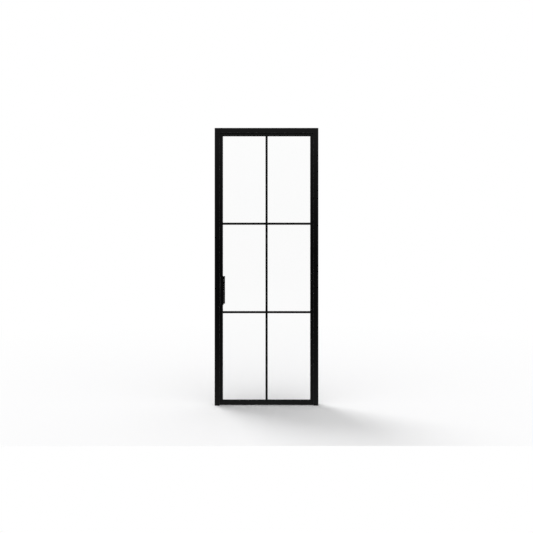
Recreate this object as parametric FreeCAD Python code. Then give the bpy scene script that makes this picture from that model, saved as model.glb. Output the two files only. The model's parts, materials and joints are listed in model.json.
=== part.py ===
import FreeCAD, Part
import math
import os

# Steel-framed glazed interior door, in millimetres.
# Origin on the wall face of the hinge post, at floor level and half-way through the frame's depth.
# +X points out of that wall face, so the door lies towards -X. The stop side, with the cover
# strips, faces -Y. The leaf swings towards +Y. +Z is up.

# Overall sizes
door_width = 880.0
door_height = 2355.0

# Frame: rectangular tube with a flat cover strip on its front
frame_tube_width = 20.0
frame_tube_depth = 60.0
tube_wall = 2.0
tube_corner_radius = 3.0
cover_thickness = 5.0
cover_width = 41.5
cover_edge_radius = 1.0

# Clearances round the leaf
latch_gap = 6.5
hinge_gap = 5.0
head_gap = 5.0
floor_gap = 5.0
stop_gap = 5.0

# Leaf: rectangular tube with a flat face strip that reaches over the glass
leaf_tube_width = 30.0
face_strip_width = 43.0
face_strip_thickness = 5.0
face_edge_radius = 0.6

# Glazing bars of T section
column_count = 2
row_count = 3
bar_flange_width = 18.0
bar_web_thickness = 5.0
bar_web_depth = 20.0

# Glass and the beads that hold it from the back
glass_thickness = 8.0
glass_edge_clearance = 2.0
bead_depth = 12.0
bead_wall = 1.5
tube_bead_setback = 5.0
web_bead_setback = 1.0
bead_end_clearance = 0.3

# Rubber bulb seals on the back of the cover strips
seal_width = 9.0
seal_wall = 1.2
seal_inset = 1.0
seal_clearance = 0.3

# Bent angle grips, one on each side of the latch stile
grip_bottom = 857.0
grip_height = 240.0
grip_inset = 20.5
grip_width = 33.0
grip_projection = 45.0
grip_thickness = 4.0
grip_bend_radius = 8.0
grip_edge_radius = 0.6

# Ball catch in the edge of the latch stile and its strike plate in the latch post
catch_height = 1050.0
catch_plate_width = 18.0
catch_plate_length = 70.0
catch_case_width = 12.0
catch_case_length = 44.0
catch_case_depth = 20.0
catch_ball_radius = 6.0
catch_ball_projection = 3.0
strike_hole_radius = 5.0
let_in_clearance = 0.1

# Weld-on barrel hinges behind the gap at the hinge post
hinge_end_distance = 230.0
hinge_barrel_radius = 8.0
hinge_barrel_length = 48.0
hinge_barrel_standoff = 3.0
hinge_pin_radius = 4.5
hinge_pin_length = 40.0
hinge_pin_clearance = 0.05
hinge_pin_end_clearance = 2.0
hinge_washer_thickness = 2.0
hinge_washer_lip = 0.5
hinge_lug_width = 9.0
hinge_lug_setback = 1.0
hinge_lug_end_distance = 1.5

# Fixing holes through the frame into the wall
fixing_hole_radius = 4.25
post_fixing_end_distance = 220.0
post_fixing_spacing = 600.0
head_fixing_spacing = 400.0
drill_overrun = 1.0

# Planes across the depth
frame_front = -(cover_thickness + frame_tube_depth) / 2
cover_back = frame_front + cover_thickness
frame_back = cover_back + frame_tube_depth
leaf_front = cover_back + stop_gap
strip_back = leaf_front + face_strip_thickness
leaf_back = frame_back
glass_back = strip_back + glass_thickness
bead_back = glass_back + bead_depth
web_back = strip_back + bar_web_depth

# Outer edges of the leaf
latch_wall_face = -door_width
hinge_wall_face = 0.0
leaf_left = latch_wall_face + frame_tube_width + latch_gap
leaf_right = hinge_wall_face - frame_tube_width - hinge_gap
leaf_bottom = floor_gap
leaf_top = door_height - frame_tube_width - head_gap

# Opening between the face strips, and the larger one between the tubes
strip_left = leaf_left + face_strip_width
strip_right = leaf_right - face_strip_width
strip_bottom = leaf_bottom + face_strip_width
strip_top = leaf_top - face_strip_width
tube_left = leaf_left + leaf_tube_width
tube_right = leaf_right - leaf_tube_width
tube_bottom = leaf_bottom + leaf_tube_width
tube_top = leaf_top - leaf_tube_width

x_axis = FreeCAD.Vector(1, 0, 0)
y_axis = FreeCAD.Vector(0, 1, 0)
z_axis = FreeCAD.Vector(0, 0, 1)


def point(x, y, z):
    return FreeCAD.Vector(x, y, z)


def block(low, high):
    """Box between two opposite corners."""
    size = high - low
    return Part.makeBox(size.x, size.y, size.z, low)


def rounded_wire(corners):
    """Closed outline through (point, radius) corners, with an arc at each rounded one."""
    edges = []
    last_end = None
    first_start = None
    for index, (corner, radius) in enumerate(corners):
        before = corners[index - 1][0]
        after = corners[(index + 1) % len(corners)][0]
        start = end = corner
        if radius > 0:
            back = (before - corner).normalize()
            onward = (after - corner).normalize()
            half_angle = back.getAngle(onward) / 2
            bisector = (back + onward).normalize()
            start = corner + back * (radius / math.tan(half_angle))
            end = corner + onward * (radius / math.tan(half_angle))
            middle = corner + bisector * (radius / math.sin(half_angle) - radius)
        if last_end is not None:
            edges.append(Part.makeLine(last_end, start))
        else:
            first_start = start
        if radius > 0:
            edges.append(Part.Arc(start, middle, end).toShape())
        last_end = end
    edges.append(Part.makeLine(last_end, first_start))
    return Part.Wire(edges)


def extrusion(origin, inward, run, outline, hollow=None):
    """Profile of (distance inward, depth, radius) corners, pushed along run, with an optional hollow."""
    def placed(corners):
        return [(origin + inward * a + y_axis * y, radius) for a, y, radius in corners]

    solid = Part.Face(rounded_wire(placed(outline))).extrude(run)
    if hollow:
        solid = solid.cut(Part.Face(rounded_wire(placed(hollow))).extrude(run))
    return solid


def elevation_prism(corners):
    """Prism through the whole depth over an outline drawn in elevation, as (x, z) corners."""
    low = point(0, frame_front - cover_thickness, 0)
    wire = Part.makePolygon([low + point(x, 0, z) for x, z in corners + corners[:1]])
    return Part.Face(wire).extrude(y_axis * (frame_back - frame_front + 2 * cover_thickness))


def tube(origin, inward, run, width, front):
    """Rectangular tube from the front plane to the frame's back, rounded outside at the back only."""
    outline = [
        (0, front, 0),
        (width, front, 0),
        (width, frame_back, tube_corner_radius),
        (0, frame_back, tube_corner_radius),
    ]
    left, right = tube_wall, width - tube_wall
    near, far = front + tube_wall, frame_back - tube_wall
    hollow = [(left, near, 0), (right, near, 0), (right, far, 0), (left, far, 0)]
    return extrusion(origin, inward, run, outline, hollow)


def flat_strip(origin, inward, run, width, front, thickness, edge_radius):
    """Flat bar with its two front edges rounded."""
    return extrusion(origin, inward, run, [
        (0, front, edge_radius),
        (width, front, edge_radius),
        (width, front + thickness, 0),
        (0, front + thickness, 0),
    ])


def save(name, shape):
    """Write one sub-part as its own file."""
    shape = shape.removeSplitter()
    shape.exportStep("parts/" + name + ".step")


# Frame

def cover_strip(origin, inward, run):
    return flat_strip(origin, inward, run, cover_width, frame_front, cover_thickness, cover_edge_radius)


def post_fixing_heights():
    """Fixing holes at both ends of a post, and a second pair one spacing further in."""
    ends = [post_fixing_end_distance, door_height - post_fixing_end_distance]
    return [ends[0], ends[0] + post_fixing_spacing, ends[1] - post_fixing_spacing, ends[1]]


def tube_centre_depth():
    return (cover_back + frame_back) / 2


def fixing_drill(start, inward):
    """Drill that goes right through a frame tube from its wall face."""
    length = frame_tube_width + 2 * drill_overrun
    return Part.makeCylinder(fixing_hole_radius, length, start - inward * drill_overrun, inward)


def post_mitre(wall_face, inward, width):
    """Outline in elevation of a post piece of that face width, mitred at the top."""
    inner = wall_face + inward.x * width
    return elevation_prism([
        (wall_face, 0), (wall_face, door_height), (inner, door_height - width), (inner, 0),
    ])


def frame_post(wall_face, inward):
    """Upright tube with a mitred top and the fixing holes."""
    post = tube(point(wall_face, 0, 0), inward, z_axis * door_height, frame_tube_width, cover_back)
    post = post.common(post_mitre(wall_face, inward, frame_tube_width))
    for height in post_fixing_heights():
        post = post.cut(fixing_drill(point(wall_face, tube_centre_depth(), height), inward))
    return post


def post_cover(wall_face, inward):
    strip = cover_strip(point(wall_face, 0, 0), inward, z_axis * door_height)
    return strip.common(post_mitre(wall_face, inward, cover_width))


def head_mitre(width):
    """Outline in elevation of a head piece of that face width, mitred at both ends."""
    return elevation_prism([
        (latch_wall_face, door_height),
        (hinge_wall_face, door_height),
        (hinge_wall_face - width, door_height - width),
        (latch_wall_face + width, door_height - width),
    ])


def make_head():
    corner = point(latch_wall_face, 0, door_height)
    head = tube(corner, -z_axis, x_axis * door_width, frame_tube_width, cover_back)
    head = head.common(head_mitre(frame_tube_width))
    for side in (-1, 1):
        hole_x = -door_width / 2 + side * head_fixing_spacing / 2
        head = head.cut(fixing_drill(point(hole_x, tube_centre_depth(), door_height), -z_axis))
    return head


def make_head_cover():
    corner = point(latch_wall_face, 0, door_height)
    strip = cover_strip(corner, -z_axis, x_axis * door_width)
    return strip.common(head_mitre(cover_width))


def let_in_plate(face_x, outward, clearance):
    """Flat plate with round ends, let into a tube wall whose outside is at face_x."""
    radius = catch_plate_width / 2 + clearance
    half_straight = (catch_plate_length - catch_plate_width) / 2
    start = point(min(face_x, face_x - outward * tube_wall), catch_depth(), catch_height)
    plate = block(
        start - y_axis * radius - z_axis * half_straight,
        start + y_axis * radius + z_axis * half_straight + x_axis * tube_wall,
    )
    for end in (-1, 1):
        centre = start + z_axis * (end * half_straight)
        plate = plate.fuse(Part.makeCylinder(radius, tube_wall, centre, x_axis))
    return plate.removeSplitter()


def catch_depth():
    """Middle of the leaf's tube, where ball and strike meet."""
    return (strip_back + leaf_back) / 2


def make_strike_plate():
    face_x = latch_wall_face + frame_tube_width
    plate = let_in_plate(face_x, 1, 0)
    start = point(face_x - tube_wall, catch_depth(), catch_height)
    return plate.cut(Part.makeCylinder(strike_hole_radius, tube_wall, start, x_axis))


def seal_profile():
    """Hollow bulb seal on the back of a cover strip, as outline and hollow."""
    inset = seal_start()
    near, far = cover_back, leaf_front - seal_clearance
    bulb_radius = (far - near) / 2
    outline = [
        (inset, near, 0),
        (inset + seal_width, near, 0),
        (inset + seal_width, far, bulb_radius),
        (inset, far, bulb_radius),
    ]
    inner = bulb_radius - seal_wall
    left, right = inset + seal_wall, inset + seal_width - seal_wall
    hollow = [
        (left, near + seal_wall, 0),
        (right, near + seal_wall, 0),
        (right, far - seal_wall, inner),
        (left, far - seal_wall, inner),
    ]
    return outline, hollow


def seal_start():
    """The seal lies just inside the free edge of its cover strip."""
    return cover_width - seal_inset - seal_width


def post_seal(wall_face, inward):
    outline, hollow = seal_profile()
    length = door_height - seal_start() - seal_width - seal_clearance
    return extrusion(point(wall_face, 0, 0), inward, z_axis * length, outline, hollow)


def make_head_seal():
    outline, hollow = seal_profile()
    start = latch_wall_face + seal_start()
    end = hinge_wall_face - seal_start()
    return extrusion(point(start, 0, door_height), -z_axis, x_axis * (end - start), outline, hollow)


# Leaf

def stile_mitre(edge, inward, width):
    """Outline in elevation of an upright of the leaf, mitred at both ends."""
    inner = edge + inward.x * width
    return elevation_prism([
        (edge, leaf_bottom), (edge, leaf_top), (inner, leaf_top - width), (inner, leaf_bottom + width),
    ])


def rail_mitre(edge, inward, width):
    """Outline in elevation of a rail of the leaf, mitred at both ends."""
    inner = edge + inward.z * width
    return elevation_prism([
        (leaf_left, edge), (leaf_right, edge), (leaf_right - width, inner), (leaf_left + width, inner),
    ])


def leaf_tube(origin, inward, run):
    return tube(origin, inward, run, leaf_tube_width, strip_back)


def face_strip(origin, inward, run):
    return flat_strip(
        origin, inward, run, face_strip_width, leaf_front, face_strip_thickness, face_edge_radius
    )


def stile(edge, inward, member, width):
    """One upright of the leaf, as its tube or its face strip."""
    upright = member(point(edge, 0, leaf_bottom), inward, z_axis * (leaf_top - leaf_bottom))
    return upright.common(stile_mitre(edge, inward, width))


def rail(edge, inward, member, width):
    """One rail of the leaf, as its tube or its face strip."""
    length = member(point(leaf_left, 0, edge), inward, x_axis * (leaf_right - leaf_left))
    return length.common(rail_mitre(edge, inward, width))


def make_latch_stile():
    upright = stile(leaf_left, x_axis, leaf_tube, leaf_tube_width)
    return upright.cut(let_in_plate(leaf_left, -1, let_in_clearance))


def make_latch_post():
    post = frame_post(latch_wall_face, x_axis)
    return post.cut(let_in_plate(latch_wall_face + frame_tube_width, 1, let_in_clearance))


def glazing_bar(origin, across, run, flange_range, web_range):
    """T section: the flange fits between face strips, the web runs on to the tubes behind them."""
    half = bar_flange_width / 2
    web = bar_web_thickness / 2
    flange_outline = [
        (-half, leaf_front, face_edge_radius),
        (half, leaf_front, face_edge_radius),
        (half, strip_back, 0),
        (-half, strip_back, 0),
    ]
    web_outline = [(-web, strip_back, 0), (web, strip_back, 0), (web, web_back, 0), (-web, web_back, 0)]
    low, high = flange_range
    flange = extrusion(origin + run * low, across, run * (high - low), flange_outline)
    low, high = web_range
    return flange.fuse(extrusion(origin + run * low, across, run * (high - low), web_outline))


def bay_centres(low, high, count):
    """Centres of the bars that divide the clear opening into equal bays."""
    bay = (high - low - (count - 1) * bar_flange_width) / count
    pitch = bay + bar_flange_width
    return [low + bay + bar_flange_width / 2 + index * pitch for index in range(count - 1)]


column_bars = bay_centres(strip_left, strip_right, column_count)
row_bars = bay_centres(strip_bottom, strip_top, row_count)
column_names = ["left", "right"]
row_names = ["bottom", "middle", "top"]
cross_bar_names = ["lower", "upper"]


def bay_edges(tube_low, tube_high, bars):
    """For each bay, its two supports as (face, True for a tube or False for a web)."""
    half = bar_web_thickness / 2
    lows = [(tube_low, True)] + [(bar + half, False) for bar in bars]
    highs = [(bar - half, False) for bar in bars] + [(tube_high, True)]
    return list(zip(lows, highs))


column_bays = bay_edges(tube_left, tube_right, column_bars)
row_bays = bay_edges(tube_bottom, tube_top, row_bars)


def make_vertical_bar():
    return glazing_bar(
        point(column_bars[0], 0, 0), x_axis, z_axis, (strip_bottom, strip_top), (tube_bottom, tube_top)
    )


def cross_bar(height, column):
    """Cross bar of one column, between a stile and the vertical bar."""
    half = bar_flange_width / 2
    flange_ends = [(strip_left, column_bars[0] - half), (column_bars[0] + half, strip_right)]
    web_ends = (column_bays[column][0][0], column_bays[column][1][0])
    return glazing_bar(point(0, 0, height), z_axis, x_axis, flange_ends[column], web_ends)


def pane(column_bay, row_bay):
    (x_low, _), (x_high, _) = column_bay
    (z_low, _), (z_high, _) = row_bay
    clear = glass_edge_clearance
    return block(
        point(x_low + clear, strip_back, z_low + clear),
        point(x_high - clear, glass_back, z_high - clear),
    )


def bead(origin, inward, run, on_tube):
    """Hollow bead that stands on a tube or a web and stays out of sight behind the strip in front."""
    width = face_strip_width - leaf_tube_width - tube_bead_setback
    if not on_tube:
        width = (bar_flange_width - bar_web_thickness) / 2 - web_bead_setback
    outline = [
        (0, glass_back, 0),
        (width, glass_back, 0),
        (width, bead_back, 0),
        (0, bead_back, 0),
    ]
    hollow = [
        (bead_wall, glass_back + bead_wall, 0),
        (width - bead_wall, glass_back + bead_wall, 0),
        (width - bead_wall, bead_back - bead_wall, 0),
        (bead_wall, bead_back - bead_wall, 0),
    ]
    return extrusion(origin, inward, run, outline, hollow), width


def bead_set(column_bay, row_bay):
    """Four beads behind one pane: two uprights the full height, two cross pieces between them."""
    (x_low, left_tube), (x_high, right_tube) = column_bay
    (z_low, low_tube), (z_high, high_tube) = row_bay
    rise = z_axis * (z_high - z_low)
    left, left_width = bead(point(x_low, 0, z_low), x_axis, rise, left_tube)
    right, right_width = bead(point(x_high, 0, z_low), -x_axis, rise, right_tube)
    start = x_low + left_width + bead_end_clearance
    across = x_axis * (x_high - right_width - bead_end_clearance - start)
    lower, _ = bead(point(start, 0, z_low), z_axis, across, low_tube)
    upper, _ = bead(point(start, 0, z_high), -z_axis, across, high_tube)
    return Part.makeCompound([left, right, lower, upper])


def grip(foot, outward):
    """Steel strip bent to an angle: one leg stands on the stile, the other reaches over the glass."""
    near = leaf_left + grip_inset
    far = near + grip_width
    face = foot + outward * grip_projection
    inside = face - outward * grip_thickness
    inner_radius = grip_bend_radius - grip_thickness
    corners = [
        (near, foot, 0),
        (near, face, grip_bend_radius),
        (far, face, grip_edge_radius),
        (far, inside, grip_edge_radius),
        (near + grip_thickness, inside, inner_radius),
        (near + grip_thickness, foot, 0),
    ]
    return extrusion(point(0, 0, grip_bottom), x_axis, z_axis * grip_height, corners)


def make_ball_catch():
    """Face plate flush with the leaf's edge, case behind it, and the spring ball standing out."""
    depth = catch_depth()
    case = block(
        point(leaf_left + tube_wall, depth - catch_case_width / 2, catch_height - catch_case_length / 2),
        point(leaf_left + tube_wall + catch_case_depth, depth + catch_case_width / 2,
              catch_height + catch_case_length / 2),
    )
    ball_centre = point(leaf_left - catch_ball_projection + catch_ball_radius, depth, catch_height)
    ball = Part.makeSphere(catch_ball_radius, ball_centre)
    dome = ball.common(block(
        ball_centre - point(2 * catch_ball_radius, catch_ball_radius, catch_ball_radius),
        point(leaf_left + tube_wall, depth + catch_ball_radius, catch_height + catch_ball_radius),
    ))
    return let_in_plate(leaf_left, -1, 0).fuse(case).fuse(dome)


# Hinges

hinge_axis_x = hinge_wall_face - frame_tube_width - hinge_gap / 2
hinge_axis_y = frame_back + hinge_barrel_standoff + hinge_barrel_radius
hinge_names = ["lower", "middle", "upper"]
hinge_centres = [
    leaf_bottom + hinge_end_distance,
    (leaf_bottom + leaf_top) / 2,
    leaf_top - hinge_end_distance,
]


def barrel(bottom, side):
    """Hinge barrel and the lug that is welded to a tube's back face."""
    centre = point(hinge_axis_x, hinge_axis_y, bottom)
    shape = Part.makeCylinder(hinge_barrel_radius, hinge_barrel_length, centre, z_axis)
    near = hinge_axis_x + side * (hinge_gap / 2 + hinge_lug_setback)
    far = near + side * hinge_lug_width
    lug = block(
        point(min(near, far), frame_back, bottom + hinge_lug_end_distance),
        point(max(near, far), hinge_axis_y, bottom + hinge_barrel_length - hinge_lug_end_distance),
    )
    return shape.fuse(lug)


def hinge_post_half(centre_height):
    """Lower barrel with the pin that stands up out of it."""
    bottom = centre_height - hinge_washer_thickness / 2 - hinge_barrel_length
    top = point(hinge_axis_x, hinge_axis_y, bottom + hinge_barrel_length)
    pin = Part.makeCylinder(hinge_pin_radius, hinge_washer_thickness + hinge_pin_length, top, z_axis)
    return barrel(bottom, 1).fuse(pin)


def hinge_leaf_half(centre_height):
    """Upper barrel with a blind bore over the pin."""
    bottom = centre_height + hinge_washer_thickness / 2
    start = point(hinge_axis_x, hinge_axis_y, bottom)
    bore_radius = hinge_pin_radius + hinge_pin_clearance
    bore = Part.makeCylinder(bore_radius, hinge_pin_length + hinge_pin_end_clearance, start, z_axis)
    return barrel(bottom, -1).cut(bore)


def hinge_washer(centre_height):
    bottom = point(hinge_axis_x, hinge_axis_y, centre_height - hinge_washer_thickness / 2)
    ring = Part.makeCylinder(hinge_barrel_radius - hinge_washer_lip, hinge_washer_thickness, bottom, z_axis)
    bore_radius = hinge_pin_radius + hinge_pin_clearance
    return ring.cut(Part.makeCylinder(bore_radius, hinge_washer_thickness, bottom, z_axis))


# Write every sub-part

os.makedirs("parts", exist_ok=True)

save("latch_post", make_latch_post())
save("latch_cover_strip", post_cover(latch_wall_face, x_axis))
save("hinge_post", frame_post(hinge_wall_face, -x_axis))
save("hinge_cover_strip", post_cover(hinge_wall_face, -x_axis))
save("head", make_head())
save("head_cover_strip", make_head_cover())
save("latch_seal", post_seal(latch_wall_face, x_axis))
save("hinge_seal", post_seal(hinge_wall_face, -x_axis))
save("head_seal", make_head_seal())
save("strike_plate", make_strike_plate())

save("latch_stile", make_latch_stile())
save("hinge_stile", stile(leaf_right, -x_axis, leaf_tube, leaf_tube_width))
save("top_rail", rail(leaf_top, -z_axis, leaf_tube, leaf_tube_width))
save("bottom_rail", rail(leaf_bottom, z_axis, leaf_tube, leaf_tube_width))
save("latch_face_strip", stile(leaf_left, x_axis, face_strip, face_strip_width))
save("hinge_face_strip", stile(leaf_right, -x_axis, face_strip, face_strip_width))
save("top_face_strip", rail(leaf_top, -z_axis, face_strip, face_strip_width))
save("bottom_face_strip", rail(leaf_bottom, z_axis, face_strip, face_strip_width))
save("vertical_bar", make_vertical_bar())
for row_name, bar_height in zip(cross_bar_names, row_bars):
    for column, column_name in enumerate(column_names):
        save(row_name + "_" + column_name + "_bar", cross_bar(bar_height, column))
for row_name, row_bay in zip(row_names, row_bays):
    for column_name, column_bay in zip(column_names, column_bays):
        save(row_name + "_" + column_name + "_pane", pane(column_bay, row_bay))
        save(row_name + "_" + column_name + "_beads", bead_set(column_bay, row_bay))
save("front_grip", grip(leaf_front, -1))
save("back_grip", grip(leaf_back, 1))
save("ball_catch", make_ball_catch())

for name, centre_height in zip(hinge_names, hinge_centres):
    save(name + "_hinge_post_half", hinge_post_half(centre_height))
    save(name + "_hinge_leaf_half", hinge_leaf_half(centre_height))
save("hinge_washers", Part.makeCompound([hinge_washer(height) for height in hinge_centres]))
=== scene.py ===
import json
import math

import bmesh
import bpy
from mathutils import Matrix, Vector


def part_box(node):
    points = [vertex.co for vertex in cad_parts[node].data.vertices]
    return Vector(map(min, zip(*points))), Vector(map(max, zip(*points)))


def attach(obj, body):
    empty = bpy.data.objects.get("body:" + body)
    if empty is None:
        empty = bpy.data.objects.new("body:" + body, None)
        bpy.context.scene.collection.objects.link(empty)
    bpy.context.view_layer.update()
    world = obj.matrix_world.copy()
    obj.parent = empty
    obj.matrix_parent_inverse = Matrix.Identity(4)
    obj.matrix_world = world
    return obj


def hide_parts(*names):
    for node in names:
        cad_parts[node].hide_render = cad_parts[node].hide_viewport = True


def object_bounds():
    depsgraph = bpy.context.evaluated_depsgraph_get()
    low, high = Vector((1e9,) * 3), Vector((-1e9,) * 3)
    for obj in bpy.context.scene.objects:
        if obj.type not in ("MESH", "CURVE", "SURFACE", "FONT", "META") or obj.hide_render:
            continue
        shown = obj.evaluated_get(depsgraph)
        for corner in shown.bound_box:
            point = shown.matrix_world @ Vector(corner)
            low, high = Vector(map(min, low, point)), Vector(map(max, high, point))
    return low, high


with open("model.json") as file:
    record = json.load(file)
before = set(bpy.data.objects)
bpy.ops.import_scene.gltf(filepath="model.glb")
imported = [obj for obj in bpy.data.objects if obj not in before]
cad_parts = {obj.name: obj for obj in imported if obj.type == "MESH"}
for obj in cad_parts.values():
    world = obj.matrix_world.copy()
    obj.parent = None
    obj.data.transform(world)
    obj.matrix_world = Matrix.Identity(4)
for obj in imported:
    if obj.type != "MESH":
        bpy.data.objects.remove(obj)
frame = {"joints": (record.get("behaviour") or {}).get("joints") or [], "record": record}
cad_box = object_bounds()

# Frame posts and head
# Rectangular steel tube, 60 by 20 mm with rolled corners at the back, mitred and welded at the top.
# The whole frame is powder coated satin black; its rounded edges are painted lighter, a painted highlight
# where they catch the light, with a little wear. Countersunk holes take the screws into the wall.

ALONG_X = Vector((1, 0, 0))
ALONG_Y = Vector((0, 1, 0))
UPWARD = Vector((0, 0, 1))
TUBE_CORNER = 0.003
ARC_STEPS = 6
SHARP_ANGLE = 35
FLAT_FACE_WEIGHT = 100
COUNTERSINK_RADIUS = 0.0075
COUNTERSINK_DEPTH = 0.0033
DRILL_OVERRUN = 0.001
ON_FACE = 0.0001
HOLE_SIDES = 32
LOBES = 6
LOBE_DEPTH = 0.16
FRAME_BLACK = (0.0009, 0.0009, 0.00095, 1)
# Lighter colour on the frame's rounded edges: a painted highlight standing in for the light they catch,
# with a little real rubbing.
FRAME_RUB_AND_PAINTED_HIGHLIGHT = (0.16, 0.16, 0.161, 1)
COAT_SPECULAR = 0.25
COAT_PEEL = 0.0003
PEEL_STRENGTH = 0.5
DUST_ON_COAT = 0.05


def rounded_section(corners):
    """Points (inward, depth, wear and highlight) round a section; that mark is 1 on the crown of each
    rounded edge, where rubbed wear and a painted highlight go.
    """
    points = []
    for index, (inward, depth, radius) in enumerate(corners):
        corner = Vector((inward, depth))
        if not radius:
            points.append((inward, depth, 0.0))
            continue
        before = (Vector(corners[index - 1][:2]) - corner).normalized()
        after = (Vector(corners[(index + 1) % len(corners)][:2]) - corner).normalized()
        half = before.angle(after) / 2
        turn = math.pi - 2 * half
        centre = corner + (before + after).normalized() * (radius / math.sin(half))
        start = corner + before * (radius / math.tan(half)) - centre
        end = corner + after * (radius / math.tan(half)) - centre
        for step in range(ARC_STEPS + 1):
            share = step / ARC_STEPS
            spoke = start * math.sin((1 - share) * turn) + end * math.sin(share * turn)
            spot = centre + spoke / math.sin(turn)
            points.append((spot.x, spot.y, math.sin(math.pi * share)))
    return points


def new_mesh_maker():
    mesh_maker = bmesh.new()
    mesh_maker.verts.layers.float.new("wear_and_highlight")
    return mesh_maker


def new_ring(mesh_maker, points):
    """Adds a ring of points, each given as (place, wear and painted highlight mark)."""
    wear_and_highlight = mesh_maker.verts.layers.float["wear_and_highlight"]
    ring = []
    for place, rub_and_highlight in points:
        vertex = mesh_maker.verts.new(place)
        vertex[wear_and_highlight] = rub_and_highlight
        ring.append(vertex)
    return ring


def skin_rings(mesh_maker, rings):
    """Joins each ring to the next one and closes both ends."""
    for ring, following in zip(rings, rings[1:]):
        for index in range(len(ring)):
            other = (index + 1) % len(ring)
            mesh_maker.faces.new((ring[index], ring[other], following[other], following[index]))
    mesh_maker.faces.new(tuple(reversed(rings[0])))
    mesh_maker.faces.new(tuple(rings[-1]))


def push_section(mesh_maker, section, origin, inward, run, ends):
    """Adds a section pushed along run; ends gives where a point that far inward starts and stops."""
    rings = []
    for which_end in (0, 1):
        rings.append(new_ring(mesh_maker, [
            (origin + inward * across + ALONG_Y * depth + run * ends(across)[which_end], rub_and_highlight)
            for across, depth, rub_and_highlight in section
        ]))
    skin_rings(mesh_maker, rings)
    return rings


def turn_profile(mesh_maker, profile, centre, axis, sides, lobed=0):
    """Adds a closed turned shape from (radius, distance along axis, wear and highlight mark); its last
    rings may be lobed.
    """
    across = axis.orthogonal().normalized()
    beside = axis.cross(across)
    rings = []
    for number, (radius, along, rub_and_highlight) in enumerate(profile):
        lobe = LOBE_DEPTH if number >= len(profile) - lobed else 0
        points = []
        for side in range(sides):
            angle = 2 * math.pi * side / sides
            spoke = across * math.cos(angle) + beside * math.sin(angle)
            reach = radius * (1 + lobe * math.cos(LOBES * angle))
            points.append((centre + axis * along + spoke * reach, rub_and_highlight))
        rings.append(new_ring(mesh_maker, points))
    skin_rings(mesh_maker, rings)


def mitred_bar(node, outward, run, section_of, square_foot=False):
    """Mitred bar over its node's box; outward points out of its outer edge, and its foot may be square."""
    low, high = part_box(node)
    width = abs((high - low).dot(outward))
    length = (high - low).dot(run)
    origin = Vector((high.x if outward.x > 0 else low.x, 0, high.z if outward.z > 0 else low.z))
    mesh_maker = new_mesh_maker()
    push_section(mesh_maker, section_of(width, low.y, high.y), origin, -outward, run,
                 lambda across: (0 if square_foot else across, length - across))
    return mesh_maker


def shape_piece(name, mesh_maker):
    """Turns the made mesh into an object of the scene."""
    bmesh.ops.recalc_face_normals(mesh_maker, faces=mesh_maker.faces)
    mesh = bpy.data.meshes.new(name)
    mesh_maker.to_mesh(mesh)
    mesh_maker.free()
    piece = bpy.data.objects.new(name, mesh)
    bpy.context.scene.collection.objects.link(piece)
    return piece


def cut_away(piece, cutter):
    """Takes the cutter's shape out of a piece and deletes the cutter."""
    cut = piece.modifiers.new("cut", "BOOLEAN")
    cut.operation = "DIFFERENCE"
    cut.solver = "EXACT"
    cut.object = cutter
    bpy.context.view_layer.update()
    result = piece.evaluated_get(bpy.context.evaluated_depsgraph_get())
    mesh = bpy.data.meshes.new_from_object(result)
    piece.modifiers.clear()
    piece.data = mesh
    bpy.data.objects.remove(cutter)


def finish_piece(piece, material, body, slot, *nodes):
    """Smooth rounded edges, material, the body it rides on and the nodes it stands for."""
    piece.data.polygons.foreach_set("use_smooth", [True] * len(piece.data.polygons))
    piece.data.set_sharp_from_angle(angle=math.radians(SHARP_ANGLE))
    evened = piece.modifiers.new("even normals", "WEIGHTED_NORMAL")
    evened.keep_sharp = True
    evened.weight = FLAT_FACE_WEIGHT
    piece.data.materials.clear()
    piece.data.materials.append(material)
    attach(piece, body)
    if nodes:
        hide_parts(*nodes)


def feed(tree, socket, value):
    """Gives an input its value, or links it to the output that makes the value."""
    if isinstance(value, bpy.types.NodeSocket):
        tree.links.new(value, socket)
    else:
        socket.default_value = value


def own_place(tree):
    """Coordinates that stay with the piece."""
    return tree.nodes.new("ShaderNodeTexCoord").outputs["Object"]


def split(tree, direction):
    """The X, Y and Z of a vector."""
    parts = tree.nodes.new("ShaderNodeSeparateXYZ")
    tree.links.new(direction, parts.inputs[0])
    return parts.outputs


def noise(tree, place, scale, detail):
    """Noise texture, from 0 to 1."""
    node = tree.nodes.new("ShaderNodeTexNoise")
    node.inputs["Detail"].default_value = detail
    tree.links.new(place, node.inputs["Vector"])
    feed(tree, node.inputs["Scale"], scale)
    return node.outputs["Fac"]


def work_out(tree, operation, first, second):
    """Math node on two values."""
    node = tree.nodes.new("ShaderNodeMath")
    node.operation = operation
    feed(tree, node.inputs[0], first)
    feed(tree, node.inputs[1], second)
    return node.outputs[0]


def spread(tree, value, low, high, out_low, out_high, curve="LINEAR"):
    """Maps the range low to high on to out_low to out_high, clamped."""
    node = tree.nodes.new("ShaderNodeMapRange")
    node.interpolation_type = curve
    for label, given in (("Value", value), ("From Min", low), ("From Max", high), ("To Min", out_low),
                         ("To Max", out_high)):
        feed(tree, node.inputs[label], given)
    return node.outputs["Result"]


def mix_colours(tree, share, first, second):
    """Mixes two colours."""
    node = tree.nodes.new("ShaderNodeMix")
    node.data_type = "RGBA"
    feed(tree, node.inputs["Factor"], share)
    for socket, colour in zip([s for s in node.inputs if s.type == "RGBA"], (first, second)):
        feed(tree, socket, colour)
    return next(s for s in node.outputs if s.type == "RGBA")


def new_group(name, inputs, outputs):
    """Shader node group with named sockets; inputs are (name, type, default), outputs (name, type)."""
    group = bpy.data.node_groups.new(name, "ShaderNodeTree")
    for label, kind, default in inputs:
        socket = group.interface.new_socket(label, in_out="INPUT", socket_type="NodeSocket" + kind)
        socket.default_value = default
    for label, kind in outputs:
        group.interface.new_socket(label, in_out="OUTPUT", socket_type="NodeSocket" + kind)
    return group, group.nodes.new("NodeGroupInput").outputs, group.nodes.new("NodeGroupOutput").inputs


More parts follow.
